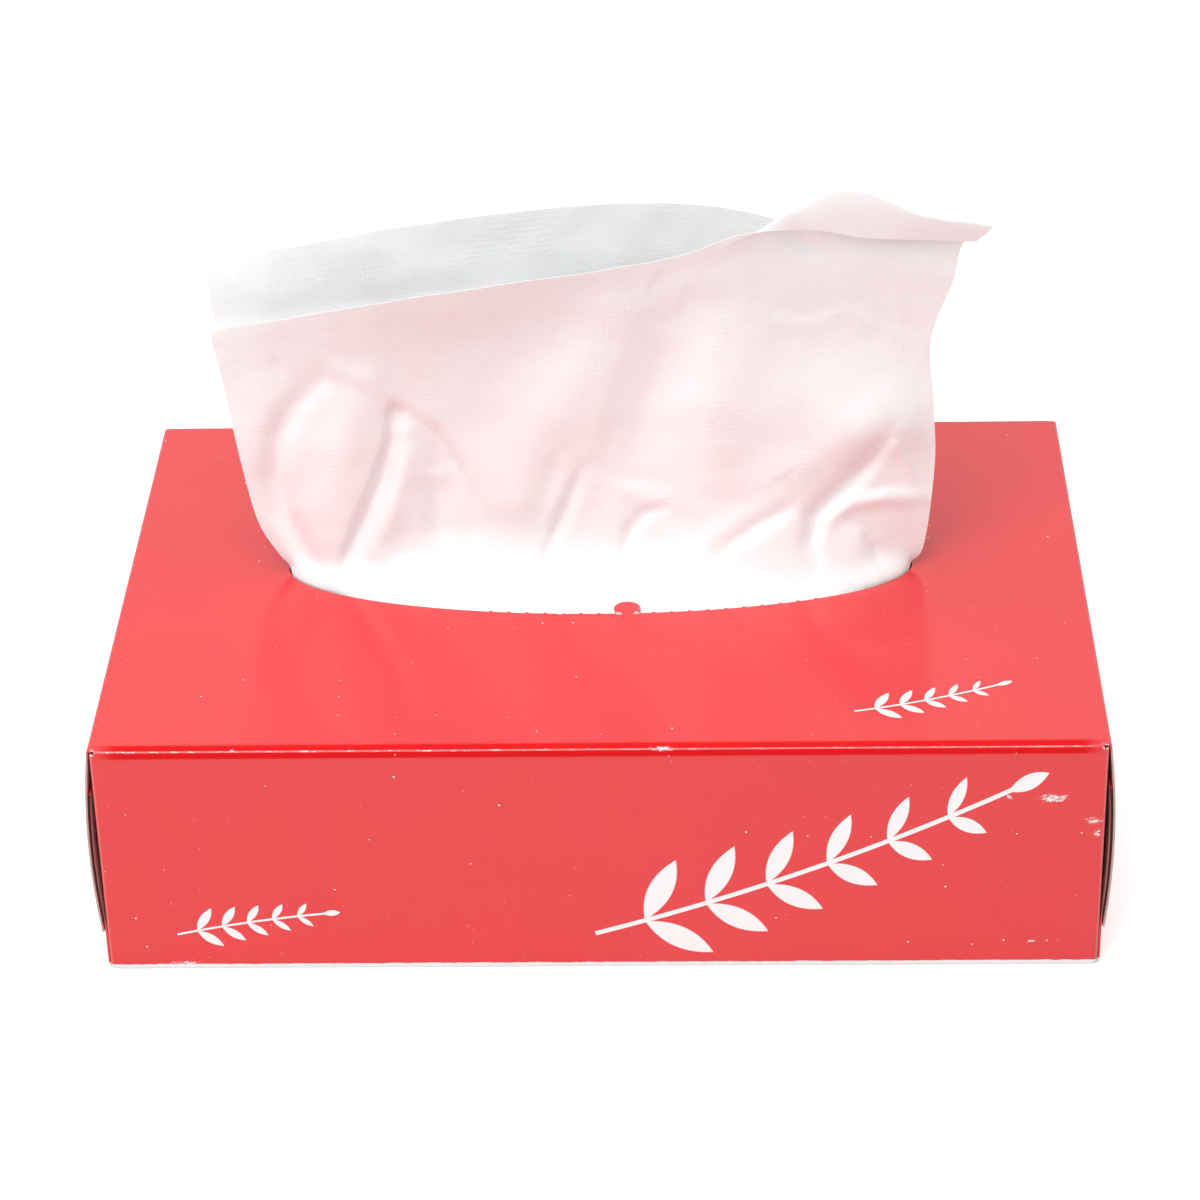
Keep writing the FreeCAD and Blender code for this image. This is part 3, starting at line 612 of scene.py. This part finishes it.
FRONT_FOLDS = [
    ([(-59.1, 103.8), (-65.1, 97.5), (-68.9, 89.9), (-70.1, 80.8), (-69, 71.7), (-66, 63.7), (-63, 57)],
     -2.8, 2.4, 3.2),
    ([(-44.3, 96), (-45, 88.3), (-48, 79.3), (-51.9, 70.2), (-55.2, 62.3), (-57.5, 55)], -2.8, 2.6, 1.3),
    ([(-41.5, 96), (-35, 90.8), (-30.2, 81.7), (-27.8, 72.6), (-26.7, 63.3), (-23.8, 55.3), (-21.1, 48.6)],
     -3.0, 1.4, 4.4),
    ([(-36, 82), (-35.4, 73), (-34.9, 62)], -2.4, 4.0, 3.2),
    ([(-3.6, 82), (-7.8, 72.4), (-10.3, 65.8), (-12.4, 57.9)], -1.7, 1.8, 1.6),
    ([(13.8, 71.9), (8.7, 70.3), (6.1, 66.3), (5.1, 60.4), (6.7, 55.7), (10.1, 52)], -1.6, 1.3, 1.5),
    ([(-9.9, 57.2), (-8.3, 52.5), (-7.3, 48.4)], -0.8, 1.0, 1.0),
    ([(-16.4, 53.2), (-18.5, 48.5)], -0.6, 1.0, 1.0),
    ([(40.6, 71.3), (33.8, 66.7), (28, 62.2), (22.9, 56.9)], -1.5, 1.5, 2.2),
    ([(61.9, 88.5), (57.5, 81.5), (51.9, 74.4), (46.9, 68.6), (45.8, 62.6), (47.5, 56.7), (50.4, 53)],
     -2.6, 1.4, 2.8),
    ([(57.7, 63.9), (60.1, 58.5), (64.8, 55.2)], -1.2, 1.2, 1.2),
    ([(9, 121), (4, 112), (0, 98), (-3, 86), (-6, 77)], 1.8, 4.0, 8.0),
    ([(16, 116), (12, 102), (9, 90), (7, 80)], -1.8, 8.0, 4.0),
    ([(-9, 86), (-12, 76), (-14, 66)], -1.2, 2.5, 4.0),
    ([(-50, 103.1), (-53, 96.1), (-55.5, 85.9), (-57.5, 75.5), (-59, 65)], 2.2, 6.0, 5.0),
    ([(-60.9, 110.1), (-53.4, 105.6), (-47.9, 103), (-44.2, 97.3)], 0.4, 1.6, 2.4),
    ([(-42.3, 90.9), (-43.4, 80.6), (-46.2, 70.1), (-49.8, 61.6)], 1.7, 3.2, 2.0),
    ([(2, 118), (-7, 104), (-13, 87), (-16.5, 74), (-18.5, 64)], 2.3, 7.0, 8.0),
    ([(26, 125.2), (24.8, 106.6), (24.7, 87.6), (22.9, 69.5)], 1.8, 11.0, 6.0),
    ([(-3.1, 79.2), (5.4, 75.9), (13.3, 73.2), (20.1, 71.2)], 0.6, 3.0, 1.8),
    ([(46.3, 67.7), (54.2, 72.8), (62.1, 74.3), (70, 74.2)], 1.4, 1.2, 2.0),
    ([(61.8, 89.2), (65.3, 83.4), (69.1, 75.5)], 0.8, 0.9, 1.2),
    ([(45, 83), (53, 88), (62, 91), (71, 93)], 2.6, 8.0, 6.0),
    ([(56.5, 68), (55.5, 60), (55, 53)], 1.2, 4.5, 4.0),
    ([(31, 130.7), (31.8, 121), (36, 117.2), (44.8, 116.1), (52, 119), (69.2, 111.2)], 0.5, 1.2, 3.0),
    ([(-68.7, 110.2), (-67.5, 103.2)], -0.6, 1.2, 1.6),
    ([(39, 139.6), (42.5, 135.9), (48.6, 131.5)], -1.6, 2.2, 2.6),
]
front_piece = leaf("front_leaf", FRONT_LYING, FRONT_PLACES, FRONT_NET, FRONT_FOLDS, 4, 0.45, -1)
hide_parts("front_tissue")


# The place it stands: a wide pale floor, even soft light from all round with a little more from above,
# and the camera in front, looking down on the top.
FLOOR_HALF, FLOOR_DROP = 3.0, 0.0002
FLOOR_GREY = (0.84, 0.84, 0.84), (0.86, 0.86, 0.86)
floor_mesh = bmesh.new()
bmesh.ops.create_grid(floor_mesh, x_segments=4, y_segments=4, size=FLOOR_HALF)
floor_data = bpy.data.meshes.new("floor")
floor_mesh.to_mesh(floor_data)
floor_mesh.free()
floor = bpy.data.objects.new("floor", floor_data)
floor.data.transform(Matrix.Translation((0.0, 0.0, -FLOOR_DROP)))
bpy.context.scene.collection.objects.link(floor)
pale = Finish("pale_floor")
rays = ("Is Camera Ray", "Is Glossy Ray", "Is Transmission Ray")
seen, mirrored, passed_on = (pale.node("ShaderNodeLightPath", out=ray) for ray in rays)
glow = seen.most(mirrored.most(passed_on) * 0.3) * 0.5
tint = pale.blend(pale.grain(pale.joined(*pale.places()), 40.0), *FLOOR_GREY)
pale.surface(Base_Color=tint, Roughness=0.9, Specular_IOR_Level=0.1, Emission_Color=(1.0, 1.0, 1.0),
             Emission_Strength=glow)
floor.data.materials.append(pale.material)

# A white sky: the camera and the glossy board see it at full strength, and it lights the rest less
SKY_LIGHT, SKY_SEEN = 0.47, 1.0
world = bpy.data.worlds.new("soft_studio")
bpy.context.scene.world = world
world.use_nodes = True
sky = world.node_tree.nodes["Background"]
path = world.node_tree.nodes.new("ShaderNodeLightPath")
shows = world.node_tree.nodes.new("ShaderNodeMath")
shows.operation = "MAXIMUM"
world.node_tree.links.new(path.outputs["Is Camera Ray"], shows.inputs[0])
world.node_tree.links.new(path.outputs["Is Glossy Ray"], shows.inputs[1])
level = world.node_tree.nodes.new("ShaderNodeMapRange")
level.inputs["To Min"].default_value, level.inputs["To Max"].default_value = SKY_LIGHT, SKY_SEEN
world.node_tree.links.new(shows.outputs[0], level.inputs["Value"])
world.node_tree.links.new(level.outputs[0], sky.inputs["Strength"])
sky.inputs["Color"].default_value = (1.0, 1.0, 1.0, 1.0)


def lamp(name, place, aim, size, power):
    """A soft square lamp that points at a place."""
    data = bpy.data.lights.new(name, "AREA")
    data.size, data.energy = size, power
    made = bpy.data.objects.new(name, data)
    made.location = place
    made.rotation_euler = (Vector(aim) - Vector(place)).to_track_quat("-Z", "Y").to_euler()
    bpy.context.scene.collection.objects.link(made)


LAMP_AIM = (0.0, 0.0, 0.05)
lamp("overhead_lamp", (-0.1, -0.2, 1.3), LAMP_AIM, 0.9, 8.6)
lamp("front_lamp", (-0.45, -0.85, 1.0), LAMP_AIM, 0.8, 7.8)

# The camera: a long lens at the eye, aimed at the middle of the carton, and turned a little about its sight
CAMERA_LENS, CAMERA_AIM, CAMERA_ROLL = 114.341, (-0.000892, 0.0, 0.04851), -1.395
camera_data = bpy.data.cameras.new("front_camera")
camera_data.sensor_width, camera_data.lens = 36.0, CAMERA_LENS
camera = bpy.data.objects.new("front_camera", camera_data)
bpy.context.scene.collection.objects.link(camera)
bpy.context.scene.camera = camera
eye = Vector(EYE / 1000.0)
sight = (Vector(CAMERA_AIM) - eye).normalized()
level_right = sight.cross(Vector((0.0, 0.0, 1.0))).normalized()
upright = level_right.cross(sight)
roll = math.radians(CAMERA_ROLL)
right = level_right * math.cos(roll) + upright * math.sin(roll)
above = upright * math.cos(roll) - level_right * math.sin(roll)
camera.matrix_world = Matrix.Translation(eye) @ Matrix((right, above, -sight)).transposed().to_4x4()
bpy.context.scene.view_settings.view_transform = "Standard"

bpy.context.view_layer.update()
